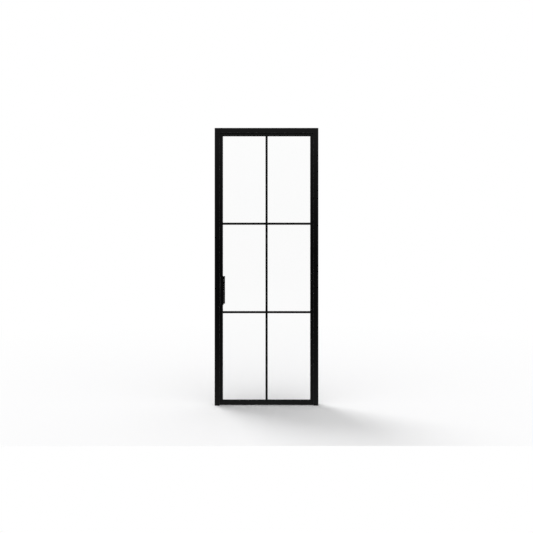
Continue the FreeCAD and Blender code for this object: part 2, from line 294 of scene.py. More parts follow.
def make_powder_skin():
    """Sprayed and baked powder: a faint cloudy tone and the fine peel of the melted grains."""
    group, given, out = new_group(
        "Powder skin",
        [("Colour", "Color", (0.01, 0.01, 0.01, 1)), ("Tone spread", "Float", 0.2),
         ("Grain scale", "Float", 900.0), ("Roughness", "Float", 0.4), ("Roughness spread", "Float", 0.06)],
        [("Colour", "Color"), ("Roughness", "Float"), ("Height", "Float")],
    )
    place = own_place(group)
    cloud = work_out(group, "MULTIPLY", noise(group, place, 4.0, 3), given["Tone spread"])
    tone = work_out(group, "ADD", cloud, work_out(group, "SUBTRACT", 1.0, given["Tone spread"]))
    scaled = group.nodes.new("ShaderNodeVectorMath")
    scaled.operation = "SCALE"
    group.links.new(given["Colour"], scaled.inputs[0])
    group.links.new(tone, scaled.inputs["Scale"])
    group.links.new(scaled.outputs[0], out["Colour"])
    patches = work_out(group, "SUBTRACT", noise(group, place, 35.0, 2), 0.5)
    swing = work_out(group, "MULTIPLY", patches, given["Roughness spread"])
    group.links.new(work_out(group, "ADD", given["Roughness"], swing), out["Roughness"])
    group.links.new(noise(group, place, given["Grain scale"], 2), out["Height"])
    return group


def make_edge_rub():
    """Lighter rounded edges: where hands and cloths polish them the finish is a little lighter, and a light
    rubbed colour paints a highlight where they catch the light.
    """
    group, given, out = new_group(
        "Edge rub and painted highlight",
        [("Colour", "Color", (0.01, 0.01, 0.01, 1)), ("Rubbed colour", "Color", (0.05, 0.05, 0.05, 1)),
         ("Amount", "Float", 0.5)],
        [("Colour", "Color")],
    )
    wear_and_highlight = group.nodes.new("ShaderNodeAttribute")
    wear_and_highlight.attribute_name = "wear_and_highlight"
    broken = spread(group, noise(group, own_place(group), 55.0, 4), 0.38, 0.68, 0.25, 1.0)
    rubbed_and_highlit = work_out(group, "MULTIPLY", wear_and_highlight.outputs["Fac"], broken)
    mask = work_out(group, "MULTIPLY", rubbed_and_highlit, given["Amount"])
    group.links.new(mix_colours(group, mask, given["Colour"], given["Rubbed colour"]), out["Colour"])
    return group


def make_dust_film():
    """Thin pale dust on faces that look up, in patches."""
    group, given, out = new_group(
        "Dust film",
        [("Colour", "Color", (0.01, 0.01, 0.01, 1)), ("Dust colour", "Color", (0.3, 0.29, 0.27, 1)),
         ("Amount", "Float", 0.1), ("Roughness", "Float", 0.4)],
        [("Colour", "Color"), ("Roughness", "Float")],
    )
    facing = split(group, group.nodes.new("ShaderNodeNewGeometry").outputs["Normal"])
    upward = spread(group, facing["Z"], 0.3, 1.0, 0.0, 1.0)
    patchy = spread(group, noise(group, own_place(group), 22.0, 5), 0.35, 0.7, 0.3, 1.0)
    mask = work_out(group, "MULTIPLY", work_out(group, "MULTIPLY", upward, patchy), given["Amount"])
    group.links.new(mix_colours(group, mask, given["Colour"], given["Dust colour"]), out["Colour"])
    group.links.new(work_out(group, "ADD", given["Roughness"], mask), out["Roughness"])
    return group


powder_skin = make_powder_skin()
edge_rub_and_highlight = make_edge_rub()
dust_film = make_dust_film()


def new_material(name):
    """A material, its node tree and its shader."""
    material = bpy.data.materials.new(name)
    material.use_nodes = True
    tree = material.node_tree
    return material, tree, tree.nodes["Principled BSDF"]


def place_group(tree, group, **values):
    """Puts a group into a material's tree, with plain values or links on its named inputs."""
    node = tree.nodes.new("ShaderNodeGroup")
    node.node_tree = group
    for label, value in values.items():
        feed(tree, node.inputs[label.replace("_", " ")], value)
    return node.outputs


def paint_dusty(tree, shader, colour, roughness, amount):
    """Gives the shader its colour and roughness under a film of dust."""
    dust = place_group(tree, dust_film, Colour=colour, Roughness=roughness, Amount=amount)
    tree.links.new(dust["Colour"], shader.inputs["Base Color"])
    tree.links.new(dust["Roughness"], shader.inputs["Roughness"])


def add_bump(tree, shader, height, strength, distance):
    """Gives the shader a fine relief."""
    bump = tree.nodes.new("ShaderNodeBump")
    bump.inputs["Strength"].default_value = strength
    bump.inputs["Distance"].default_value = distance
    tree.links.new(height, bump.inputs["Height"])
    tree.links.new(bump.outputs["Normal"], shader.inputs["Normal"])


def powder_coat(name, colour, rubbed_and_highlit, roughness, rub_and_highlight_amount, peel=COAT_PEEL):
    """Satin black powder coat with its peel, rubbed edges that can carry a painted highlight, and a breath
    of dust on top faces.
    """
    material, tree, shader = new_material(name)
    shader.inputs["Specular IOR Level"].default_value = COAT_SPECULAR
    skin = place_group(tree, powder_skin, Colour=colour, Roughness=roughness)
    edges = place_group(tree, edge_rub_and_highlight, Colour=skin["Colour"], Rubbed_colour=rubbed_and_highlit, Amount=rub_and_highlight_amount)
    paint_dusty(tree, shader, edges["Colour"], skin["Roughness"], DUST_ON_COAT)
    add_bump(tree, shader, skin["Height"], PEEL_STRENGTH, peel)
    return material


def tube_section(width, front, back):
    """Section of a tube, square in front where the flat bar is welded on."""
    return rounded_section([
        (0, front, 0), (width, front, 0), (width, back, TUBE_CORNER), (0, back, TUBE_CORNER),
    ])


def drilled_holes():
    """Places of the wall screws on the wall faces, as (point, direction inward, radius)."""
    holes = []
    for mount in frame["record"]["mounts"]:
        if mount["kind"] != "bolt_pattern":
            continue
        outward = Vector(mount["axis"])
        row = ALONG_X if abs(outward.z) > 0.5 else UPWARD
        spacing = mount["dims"].get("spacing_x_mm") or mount["dims"].get("spacing_y_mm")
        for side in (-1, 1):
            spot = Vector(mount["pos_m"]) + row * (side * spacing / 2000)
            holes.append((spot, -outward, mount["dims"]["hole_r_mm"] / 1000))
    return holes


def drill_frame_tube(tube, node):
    """Cuts the wall screws' holes that lie in this tube, countersunk on the side of the leaf."""
    low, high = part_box(node)
    thickness = min(high.x - low.x, high.z - low.z)
    drill = new_mesh_maker()
    for spot, inward, radius in drilled_holes():
        if not all(low[i] - ON_FACE <= spot[i] <= high[i] + ON_FACE for i in range(3)):
            continue
        slope = (COUNTERSINK_RADIUS - radius) / COUNTERSINK_DEPTH
        turn_profile(drill, [
            (radius, -DRILL_OVERRUN, 0), (radius, thickness - COUNTERSINK_DEPTH, 0),
            (COUNTERSINK_RADIUS, thickness, 0),
            (COUNTERSINK_RADIUS + slope * DRILL_OVERRUN, thickness + DRILL_OVERRUN, 0),
        ], spot, inward, HOLE_SIDES)
    cut_away(tube, shape_piece("drill", drill))


def make_frame_tube(node, wall_side, run):
    """One post or the head; wall_side is the direction out of its wall face."""
    tube = shape_piece(node + "_tube", mitred_bar(node, wall_side, run, tube_section, run.z > 0))
    drill_frame_tube(tube, node)
    return tube


# The frame's rubbed colour is light enough to paint a highlight along its rounded edges.
frame_coat = powder_coat("frame powder coat", FRAME_BLACK, FRAME_RUB_AND_PAINTED_HIGHLIGHT, 0.28, 0.8)
latch_tube = make_frame_tube("latch_post", -ALONG_X, UPWARD)
hinge_tube = make_frame_tube("hinge_post", ALONG_X, UPWARD)
head_tube = make_frame_tube("head", UPWARD, ALONG_X)
finish_piece(hinge_tube, frame_coat, "frame", "black_powder_coat", "hinge_post")
finish_piece(head_tube, frame_coat, "frame", "black_powder_coat", "head")

# Strike plate in the latch post
# Stainless plate, 2 mm thick with round ends, let flush into the post's inner face by two screws.
# The spring ball of the leaf's catch drops into its round hole.

PLATE_FIT = 0.0001
PLATE_STEPS = 14
POCKET_OVERRUN = 0.00001
PLATE_SCREW_RADIUS = 0.0034
PLATE_SCREW_INSET = 0.0125
SCREW_SIDES = 24
SCREW_RISE = 0.2
SCREW_RECESS_RINGS = 2
BALL_HOLE_RADIUS = 0.005
BALL_HOLE_DEPTH = 0.004
BALL_HOLE_BEVEL = 0.001
BEVEL_START = 0.0006
STEEL_COLOUR = (0.50, 0.50, 0.49, 1)
STEEL_DARK = (0.24, 0.24, 0.235, 1)
BRUSHING = (2500, 2500, 40)
strike_low, strike_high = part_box("strike_plate")
PLATE_THICKNESS = strike_high.x - strike_low.x


def round_ended_outline(half_straight, radius):
    """Outline of a plate with round ends, as (height, depth, wear) about its centre."""
    outline = []
    for end, first_angle in ((1, -90), (-1, 90)):
        for step in range(PLATE_STEPS + 1):
            angle = math.radians(first_angle + 180 * step / PLATE_STEPS)
            outline.append((end * half_straight + radius * math.cos(angle), radius * math.sin(angle), 1.0))
    return outline


def let_in_plate(low, high, face_x, into, grow):
    """Round-ended plate with its outer face at face_x, as thick as the pocket that takes it."""
    centre = (low + high) / 2
    radius = (high.y - low.y) / 2
    half_straight = (high.z - low.z) / 2 - radius
    section = [(height, centre.y + depth, rub_and_highlight)
               for height, depth, rub_and_highlight in round_ended_outline(half_straight, radius + grow)]
    mesh_maker = new_mesh_maker()
    start = Vector((face_x, 0, centre.z))
    push_section(mesh_maker, section, start, UPWARD, into, lambda across: (0, PLATE_THICKNESS))
    return mesh_maker


def cut_plate_pocket(tube, low, high, face_x, into):
    """Cuts the pocket that a plate is let into."""
    pocket = let_in_plate(low, high, face_x, into, PLATE_FIT)
    bmesh.ops.translate(pocket, verts=pocket.verts, vec=-into * POCKET_OVERRUN)
    cut_away(tube, shape_piece("pocket", pocket))


def raised_screw(mesh_maker, spot, outward, radius):
    """Low domed head of a countersunk screw, with a six-lobed recess for the driver."""
    rise = radius * SCREW_RISE
    turn_profile(mesh_maker, [
        (radius * 0.9, -rise * 0.5, 0), (radius, 0, 0.4), (radius * 0.9, rise * 0.6, 1.0),
        (radius * 0.7, rise * 0.92, 1.0), (radius * 0.5, rise, 0.8), (radius * 0.42, rise, 0.4),
        (radius * 0.38, rise * 0.1, 0),
    ], spot, outward, SCREW_SIDES, SCREW_RECESS_RINGS)


def plate_screws(mesh_maker, low, high, face_x, outward):
    """The two screws of a plate whose outer face is at face_x."""
    centre = (low + high) / 2
    reach = (high.z - low.z) / 2 - PLATE_SCREW_INSET
    for end in (-1, 1):
        spot = Vector((face_x, centre.y, centre.z + end * reach))
        raised_screw(mesh_maker, spot, outward, PLATE_SCREW_RADIUS)


def make_brushed_steel():
    """Stainless steel with fine lines along its length and duller patches from handling."""
    material, tree, shader = new_material("brushed stainless")
    shader.inputs["Metallic"].default_value = 1.0
    place = own_place(tree)
    stretch = tree.nodes.new("ShaderNodeMapping")
    stretch.inputs["Scale"].default_value = BRUSHING
    tree.links.new(place, stretch.inputs["Vector"])
    lines = noise(tree, stretch.outputs[0], 1.0, 3)
    colour = mix_colours(tree, spread(tree, lines, 0.3, 0.7, 0.0, 1.0), STEEL_COLOUR, STEEL_DARK)
    dulled = spread(tree, noise(tree, place, 90.0, 3), 0.3, 0.7, 0.24, 0.38)
    paint_dusty(tree, shader, colour, dulled, 0.04)
    add_bump(tree, shader, lines, 0.2, 0.00003)
    return material


brushed_steel = make_brushed_steel()
cut_plate_pocket(latch_tube, strike_low, strike_high, strike_high.x, -ALONG_X)
finish_piece(latch_tube, frame_coat, "frame", "black_powder_coat", "latch_post")

cover = let_in_plate(strike_low, strike_high, strike_high.x, -ALONG_X, 0)
strike = shape_piece("strike_plate_cover", cover)
hole = new_mesh_maker()
turn_profile(hole, [
    (BALL_HOLE_RADIUS, -BALL_HOLE_DEPTH, 0), (BALL_HOLE_RADIUS, BEVEL_START, 0),
    (BALL_HOLE_RADIUS + BALL_HOLE_BEVEL, BEVEL_START + BALL_HOLE_BEVEL, 0),
], (strike_low + strike_high) / 2, ALONG_X, HOLE_SIDES)
cut_away(strike, shape_piece("ball hole", hole))
finish_piece(strike, brushed_steel, "frame", "bare_steel", "strike_plate")

strike_screws = new_mesh_maker()
plate_screws(strike_screws, strike_low, strike_high, strike_high.x, ALONG_X)
finish_piece(shape_piece("strike_screws", strike_screws), brushed_steel, "frame", "bare_steel")

# Cover strips of the frame
# Flat steel bar, 5 mm thick with eased front edges, mitred and welded to the front of the tubes.
# The leaf shuts behind their inner edges.

COVER_EDGE = 0.001


def strip_section(width, front, back, edge):
    """Section of a flat bar with eased front edges."""
    return rounded_section([(0, front, edge), (width, front, edge), (width, back, 0), (0, back, 0)])


def cover_section(width, front, back):
    return strip_section(width, front, back, COVER_EDGE)


for node, outward, run in (
    ("latch_cover_strip", -ALONG_X, UPWARD),
    ("hinge_cover_strip", ALONG_X, UPWARD),
    ("head_cover_strip", UPWARD, ALONG_X),
):
    made = mitred_bar(node, outward, run, cover_section, run.z > 0)
    finish_piece(shape_piece(node + "_bar", made), frame_coat, "frame", "black_powder_coat", node)

# Seals
# Hollow bulbs of black rubber, pushed on the back of the cover strips.
# The leaf comes to rest just off them, so its steel never meets the frame's steel.

RUBBER_BLACK = (0.012, 0.012, 0.012, 1)
RUBBER_BLOOM = (0.03, 0.03, 0.031, 1)
BLOOM_MOST = 0.35


def make_seal_rubber():
    """Matt extruded rubber with a dull bloom and a fine grain."""
    material, tree, shader = new_material("seal rubber")
    shader.inputs["Specular IOR Level"].default_value = 0.3
    place = own_place(tree)
    bloom = spread(tree, noise(tree, place, 70.0, 4), 0.35, 0.75, 0.0, BLOOM_MOST)
    colour = mix_colours(tree, bloom, RUBBER_BLACK, RUBBER_BLOOM)
    paint_dusty(tree, shader, colour, spread(tree, bloom, 0.0, BLOOM_MOST, 0.62, 0.8), 0.12)
    add_bump(tree, shader, noise(tree, place, 1400.0, 2), 0.3, 0.00005)
    return material


def make_seal(node, run):
    """Bulb seal along run, over its node's box, with its two free corners fully rounded."""
    low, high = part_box(node)
    inward = ALONG_X if run.z else UPWARD
    width, length = (high - low).dot(inward), (high - low).dot(run)
    bulb = (high.y - low.y) / 2
    section = rounded_section([(0, low.y, 0), (width, low.y, 0), (width, high.y, bulb), (0, high.y, bulb)])
    mesh_maker = new_mesh_maker()
    push_section(mesh_maker, section, Vector((low.x, 0, low.z)), inward, run, lambda across: (0, length))
    finish_piece(shape_piece(node + "_bulb", mesh_maker), seal_rubber, "frame", "seal_rubber", node)


seal_rubber = make_seal_rubber()
make_seal("latch_seal", UPWARD)
make_seal("hinge_seal", UPWARD)
make_seal("head_seal", ALONG_X)

# Leaf tubes
# Rectangular steel tube, 50 by 30 mm, mitred and welded at the four corners and ground flush.
# Coated like the frame, in the same spraying.

LEAF_BLACK = (0.0008, 0.0008, 0.00085, 1)
LEAF_RUBBED = (0.03, 0.03, 0.031, 1)
LEAF_SIDES = {
    "latch": ("latch_stile", "latch_face_strip", -ALONG_X, UPWARD),
    "hinge": ("hinge_stile", "hinge_face_strip", ALONG_X, UPWARD),
    "top": ("top_rail", "top_face_strip", UPWARD, ALONG_X),
    "bottom": ("bottom_rail", "bottom_face_strip", -UPWARD, ALONG_X),
}
leaf_coat = powder_coat("leaf powder coat", LEAF_BLACK, LEAF_RUBBED, 0.28, 0.8)
catch_low, catch_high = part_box("ball_catch")
latch_edge_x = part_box("latch_stile")[0].x

for node, _, outward, run in LEAF_SIDES.values():
    tube = shape_piece(node + "_tube", mitred_bar(node, outward, run, tube_section))
    if node == "latch_stile":
        cut_plate_pocket(tube, catch_low, catch_high, latch_edge_x, ALONG_X)
    finish_piece(tube, leaf_coat, "leaf", "black_powder_coat", node)

# Face strips of the leaf
# Flat steel bar, 5 mm thick, welded to the front of the leaf's tubes and mitred at the corners.
# It reaches over the glass and holds it from the front.

STRIP_EDGE = 0.0006


def face_section(width, front, back):
    return strip_section(width, front, back, STRIP_EDGE)


for _, node, outward, run in LEAF_SIDES.values():
    made = mitred_bar(node, outward, run, face_section)
    finish_piece(shape_piece(node + "_bar", made), leaf_coat, "leaf", "black_powder_coat", node)

# Glazing bars
# Steel T section. The 18 mm flange lies flush with the face strips, and the web runs back between
# the panes to the tubes. The upright is in one length, and the cross bars are welded to it.

BAR_WEB = 0.005
strip_boxes = {side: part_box(names[1]) for side, names in LEAF_SIDES.items()}
sight_left = strip_boxes["latch"][1].x
sight_right = strip_boxes["hinge"][0].x
sight_low = strip_boxes["bottom"][1].z
sight_high = strip_boxes["top"][0].z
leaf_front = strip_boxes["latch"][0].y
strip_back = strip_boxes["latch"][1].y
upright_low, upright_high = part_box("vertical_bar")


def make_bar(node, across, run, flange_from, flange_to):
    """T section: flange between two places along run, web over the whole length of the node."""
    low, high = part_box(node)
    half = (high - low).dot(across) / 2
    base = across * ((low + high) / 2).dot(across)
    half_web = BAR_WEB / 2
    mesh_maker = new_mesh_maker()
    flange = rounded_section([
        (-half, leaf_front, STRIP_EDGE), (half, leaf_front, STRIP_EDGE), (half, strip_back, 0),
        (-half, strip_back, 0),
    ])
    push_section(mesh_maker, flange, base, across, run, lambda inward: (flange_from, flange_to))
    web = rounded_section([
        (-half_web, strip_back, 0), (half_web, strip_back, 0), (half_web, high.y, STRIP_EDGE),
        (-half_web, high.y, STRIP_EDGE),
    ])
    push_section(mesh_maker, web, base, across, run, lambda inward: (low.dot(run), high.dot(run)))
    finish_piece(shape_piece(node + "_tee", mesh_maker), leaf_coat, "leaf", "black_powder_coat", node)


make_bar("vertical_bar", ALONG_X, UPWARD, sight_low, sight_high)
for level in ("lower", "upper"):
    make_bar(level + "_left_bar", UPWARD, ALONG_X, sight_left, upright_low.x)
    make_bar(level + "_right_bar", UPWARD, ALONG_X, upright_high.x, sight_right)

# Panes
# Clear toughened float glass, 8 mm, with ground edges and the faintest green in its depth.
# Each pane lies against the face strips on tape, with a fine black line of sealant in the corner.

TAPE = 0.0002
GLASS_EDGE = 0.0008
GLASS_IOR = 1.45
GLASS_TINT = (0.989, 0.991, 0.99, 1)
GLASS_WIPED = (0.995, 0.995, 0.995, 1)
WIPE_HAZE = 0.012
SEALANT = 0.0005
SEALANT_HOLLOW = 0.42
SEALANT_BLACK = (0.006, 0.006, 0.006, 1)
SEALANT_SMEARED = (0.014, 0.014, 0.014, 1)
lower_bar_low, lower_bar_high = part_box("lower_left_bar")
upper_bar_low, upper_bar_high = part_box("upper_left_bar")
COLUMNS = {"left": (sight_left, upright_low.x), "right": (upright_high.x, sight_right)}
ROWS = {
    "bottom": (sight_low, lower_bar_low.z),
    "middle": (lower_bar_high.z, upper_bar_low.z),
    "top": (upper_bar_high.z, sight_high),
}


def make_clear_glass():
    """Clear glass with the faintest haze where it was wiped."""
    material, tree, shader = new_material("clear glass")
    shader.inputs["Transmission Weight"].default_value = 1.0
    shader.inputs["IOR"].default_value = GLASS_IOR
    wipes = noise(tree, own_place(tree), 5.0, 4)
    colour = mix_colours(tree, spread(tree, wipes, 0.3, 0.7, 0.0, 1.0), GLASS_TINT, GLASS_WIPED)
    tree.links.new(colour, shader.inputs["Base Color"])
    tree.links.new(spread(tree, wipes, 0.45, 0.8, 0.0, WIPE_HAZE), shader.inputs["Roughness"])
    return material


def make_sealant():
    """Black glazing sealant, smoothed with a wet finger."""
    material, tree, shader = new_material("glazing sealant")
    smears = noise(tree, own_place(tree), 180.0, 3)
    tree.links.new(mix_colours(tree, smears, SEALANT_BLACK, SEALANT_SMEARED), shader.inputs["Base Color"])
    tree.links.new(spread(tree, smears, 0.3, 0.7, 0.4, 0.6), shader.inputs["Roughness"])
    return material


def make_pane(node):
    """Flat pane with ground arrises round its two faces."""
    low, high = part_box(node)
    near, far = low.y + TAPE, high.y - TAPE
    mesh_maker = new_mesh_maker()
    rings = []
    for depth, inset in (
        (near, GLASS_EDGE), (near + GLASS_EDGE, 0), (far - GLASS_EDGE, 0), (far, GLASS_EDGE),
    ):
        corners = ((low.x + inset, low.z + inset), (high.x - inset, low.z + inset),
                   (high.x - inset, high.z - inset), (low.x + inset, high.z - inset))
        rings.append(new_ring(mesh_maker, [((x, depth, z), 0) for x, z in corners]))
    skin_rings(mesh_maker, rings)
    finish_piece(shape_piece(node + "_glass", mesh_maker), clear_glass, "leaf", "clear_glass", node)


def sealant_line(mesh_maker, left, right, low, high):
    """Four mitred fillets of sealant in the corner between the steel and the front of the glass."""
    hollow = SEALANT * SEALANT_HOLLOW
    section = [(0, strip_back - SEALANT, 0), (hollow, strip_back - hollow, 0), (SEALANT, strip_back, 0),
               (0, strip_back, 0)]
    for origin, inward, run, length in (
        (Vector((left, 0, low)), ALONG_X, UPWARD, high - low),
        (Vector((right, 0, low)), -ALONG_X, UPWARD, high - low),
        (Vector((left, 0, low)), UPWARD, ALONG_X, right - left),
        (Vector((left, 0, high)), -UPWARD, ALONG_X, right - left),
    ):
        push_section(mesh_maker, section, origin, inward, run,
                     lambda across, length=length: (across, length - across))


clear_glass = make_clear_glass()
sealant_black = make_sealant()
sealant = new_mesh_maker()
for row, (low_z, high_z) in ROWS.items():
    for column, (left_x, right_x) in COLUMNS.items():
        make_pane(row + "_" + column + "_pane")
        sealant_line(sealant, left_x, right_x, low_z, high_z)
finish_piece(shape_piece("glazing_sealant", sealant), sealant_black, "leaf", "seal_rubber")

# Glazing beads
# Folded steel channel behind each pane, with an eased free corner, cut square and butted.
# Small screws with raised heads, through the beads' inner sides, hold them to the tubes and webs.

TUBE_BEAD_SETBACK = 0.005
WEB_BEAD_SETBACK = 0.001
BEAD_CORNER = 0.0015
BEAD_JOINT = 0.0003
BEAD_SCREW_RADIUS = 0.0026
BEAD_SCREW_END = 0.045
BEAD_SCREW_SPACING = 0.22
SCREW_BLACK = (0.012, 0.012, 0.013, 1)
SCREW_RUBBED = (0.12, 0.12, 0.12, 1)
SCREW_PEEL = 0.00002
bead_coat = powder_coat("bead powder coat", LEAF_BLACK, LEAF_RUBBED, 0.36, 0.6)
screw_black = powder_coat("blackened screws", SCREW_BLACK, SCREW_RUBBED, 0.3, 1.0, SCREW_PEEL)


def bead_setback(on_tube):
    """How far a bead's inner side lies behind the sight edge, where it stands on a tube or on a web."""
    return TUBE_BEAD_SETBACK if on_tube else WEB_BEAD_SETBACK


def make_bead(mesh_maker, screws, origin, inward, run, width, near, far, length):
    """One bead and its screws; width is how far it stands in from the tube or web."""
    section = rounded_section([
        (0, near, 0), (width, near, 0), (width, far, BEAD_CORNER), (0, far, 0),
    ])
    push_section(mesh_maker, section, origin, inward, run, lambda across: (0, length))
    screwed = length - 2 * BEAD_SCREW_END
    count = max(2, round(screwed / BEAD_SCREW_SPACING) + 1)
    for index in range(count):
        along = BEAD_SCREW_END + index * screwed / (count - 1)
        spot = origin + inward * width + ALONG_Y * ((near + far) / 2) + run * along
        raised_screw(screws, spot, inward, BEAD_SCREW_RADIUS)


bead_screws = new_mesh_maker()
for row, (low_z, high_z) in ROWS.items():
    for column, (left_x, right_x) in COLUMNS.items():
        node = row + "_" + column + "_beads"
        low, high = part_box(node)
        inner_left = left_x - bead_setback(column == "left")
        inner_right = right_x + bead_setback(column == "right")
        inner_low = low_z - bead_setback(row == "bottom")
        inner_high = high_z + bead_setback(row == "top")
        rise = high.z - low.z
        start_x = inner_left + BEAD_JOINT
        reach = inner_right - inner_left - 2 * BEAD_JOINT
        beads = new_mesh_maker()
        for origin, inward, run, width, length in (
            (Vector((low.x, 0, low.z)), ALONG_X, UPWARD, inner_left - low.x, rise),
            (Vector((high.x, 0, low.z)), -ALONG_X, UPWARD, high.x - inner_right, rise),
            (Vector((start_x, 0, low.z)), UPWARD, ALONG_X, inner_low - low.z, reach),
            (Vector((start_x, 0, high.z)), -UPWARD, ALONG_X, high.z - inner_high, reach),
        ):
            make_bead(beads, bead_screws, origin, inward, run, width, low.y + TAPE, high.y, length)
        finish_piece(shape_piece(node + "_channel", beads), bead_coat, "leaf", "black_powder_coat", node)
finish_piece(shape_piece("bead_screws", bead_screws), screw_black, "leaf", "black_powder_coat")

# Grips
# Steel strip, 4 mm, bent to an angle. One leg is welded on edge to the latch stile, and the other
# stands 45 mm off it and points over the glass. There is one on each side of the leaf.

GRIP_THICKNESS = 0.004
GRIP_BEND = 0.008
GRIP_EDGE = 0.0006
GRIP_WELD = 0.003
# The grip's black is a little darker than the leaf's: painted shade that darkens the grip's faces.
GRIP_BLACK_WITH_PAINTED_SHADE = (0.0006, 0.0006, 0.00065, 1)
GRIP_RUBBED = (0.03, 0.03, 0.031, 1)
WELD_PITCH = 0.0022
WELD_RINGS_PER_RIPPLE = 4
WELD_SEGMENTS = 5
WELD_RIPPLE = 0.1
WELD_END = 0.35
WELD_HOLLOW = 0.28
WELD_WEAR = 0.25
grip_coat = powder_coat("grip powder coat", GRIP_BLACK_WITH_PAINTED_SHADE, GRIP_RUBBED, 0.27, 0.8)


def ease_ends(mesh_maker, rings, width):
    """Rounds the cut ends of a pushed section."""
    edges = set()
    for ring in rings:
        for index, vertex in enumerate(ring):
            edge = mesh_maker.edges.get((vertex, ring[(index + 1) % len(ring)]))
            if edge:
                edges.add(edge)
    bmesh.ops.bevel(mesh_maker, geom=list(edges), offset=width, segments=2, profile=0.5, affect="EDGES")


def weld_run(mesh_maker, start, end, along_first, along_second, leg):
    """Fillet weld in the corner between two faces, thinner at its ends, with the ripples of its passes."""
    length = (end - start).length
    steps = max(8, round(length / WELD_PITCH) * WELD_RINGS_PER_RIPPLE)
    rings = []
    for step in range(steps + 1):
        share = step / steps
        ripple = 1 + WELD_RIPPLE * abs(math.sin(math.pi * share * length / WELD_PITCH))
        from_end = min(share, 1 - share) * length / leg / 2
        taper = WELD_END + (1 - WELD_END) * math.sin(math.pi * min(0.5, from_end))
        base = start.lerp(end, share)
        points = [(base, 0)]
        for segment in range(WELD_SEGMENTS + 1):
            angle = math.pi / 2 * segment / WELD_SEGMENTS
            bulge = 1 - WELD_HOLLOW + WELD_HOLLOW * abs(math.cos(2 * angle))
            spoke = along_first * math.cos(angle) + along_second * math.sin(angle)
            points.append((base + spoke * (leg * taper * bulge * ripple), WELD_WEAR))
        rings.append(new_ring(mesh_maker, points))
    skin_rings(mesh_maker, rings)


def make_grip(node, foot, outward):
    """Angle grip over its node's box; foot is the depth of the face it stands on."""
    low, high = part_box(node)
    near, far = low.x, high.x
    face = high.y if outward > 0 else low.y
    inside = face - outward * GRIP_THICKNESS
    section = rounded_section([
        (near, foot, 0), (near, face, GRIP_BEND), (far, face, GRIP_EDGE), (far, inside, GRIP_EDGE),
        (near + GRIP_THICKNESS, inside, GRIP_BEND - GRIP_THICKNESS), (near + GRIP_THICKNESS, foot, 0),
    ])
    mesh_maker = new_mesh_maker()
    rings = push_section(mesh_maker, section, Vector((0, 0, low.z)), ALONG_X, UPWARD,
                         lambda across: (0, high.z - low.z))
    ease_ends(mesh_maker, rings, GRIP_EDGE)
    finish_piece(shape_piece(node + "_angle", mesh_maker), grip_coat, "leaf", "black_powder_coat", node)
    welds = new_mesh_maker()
    for x, sideways in ((near, -ALONG_X), (near + GRIP_THICKNESS, ALONG_X)):
        weld_run(welds, Vector((x, foot, low.z + GRIP_WELD)), Vector((x, foot, high.z - GRIP_WELD)),
                 sideways, ALONG_Y * outward, GRIP_WELD)
    finish_piece(shape_piece(node + "_weld", welds), grip_coat, "leaf", "black_powder_coat")


make_grip("front_grip", leaf_front, -1)
make_grip("back_grip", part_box("latch_stile")[1].y, 1)

# Ball catch
# Stainless face plate let flush into the edge of the latch stile, held by two screws.
# The polished ball stands 3 mm out on a spring and holds the leaf shut in the strike plate.

BALL_RADIUS = 0.006
BALL_RINGS = 14
BALL_WIDEST = math.radians(85)
BALL_TIP = 0.0001
catch = let_in_plate(catch_low, catch_high, latch_edge_x, ALONG_X, 0)
plate_screws(catch, catch_low, catch_high, latch_edge_x, -ALONG_X)
ball_depth = latch_edge_x - catch_low.x - BALL_RADIUS
ball_profile = []
for ring in range(BALL_RINGS):
    tilt = BALL_WIDEST * (1 - ring / BALL_RINGS)
    ball_profile.append((BALL_RADIUS * math.sin(tilt), ball_depth + BALL_RADIUS * math.cos(tilt), 0))
ball_profile.append((BALL_TIP, ball_depth + BALL_RADIUS, 0))
ball_place = (catch_low + catch_high) / 2
ball_place.x = latch_edge_x
turn_profile(catch, ball_profile, ball_place, -ALONG_X, HOLE_SIDES)
finish_piece(shape_piece("ball_catch_plate", catch), brushed_steel, "leaf", "bare_steel", "ball_catch")

# Hinges
# Turned steel barrels, 16 mm, in two halves on a fixed pin, with a brass washer between them.
# The lower half is welded to the post by its lug, and the upper half to the leaf's hinge stile.

BARREL_EDGE = 0.0015
BARREL_SIDES = 48
LUG_EDGE = 0.0008
LUG_START = 0.0035
HINGE_WELD = 0.0022
HINGE_RUBBED = (0.07, 0.07, 0.071, 1)
WASHER_LIP = 0.0003
BRASS = (0.72, 0.50, 0.18, 1)
TARNISHED_BRASS = (0.36, 0.22, 0.08, 1)
TARNISH_MOST = 0.7
hinge_coat = powder_coat("hinge powder coat", FRAME_BLACK, HINGE_RUBBED, 0.32, 1.0)
hinge_x, hinge_y = frame["joints"][0]["pos_m"][:2]
frame_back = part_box("hinge_post")[1].y


def barrel_profile(radius, length):
    """Side view of a barrel with both ends rounded over, from its lower face to its upper face."""
    quarter = []
    for step in range(ARC_STEPS + 1):
        angle = math.pi / 2 * step / ARC_STEPS
        quarter.append((radius - BARREL_EDGE * (1 - math.sin(angle)), BARREL_EDGE * (1 - math.cos(angle)),
                        math.sin(2 * angle)))
    return quarter + [(across, length - along, wear_and_highlight) for across, along, wear_and_highlight in reversed(quarter)]


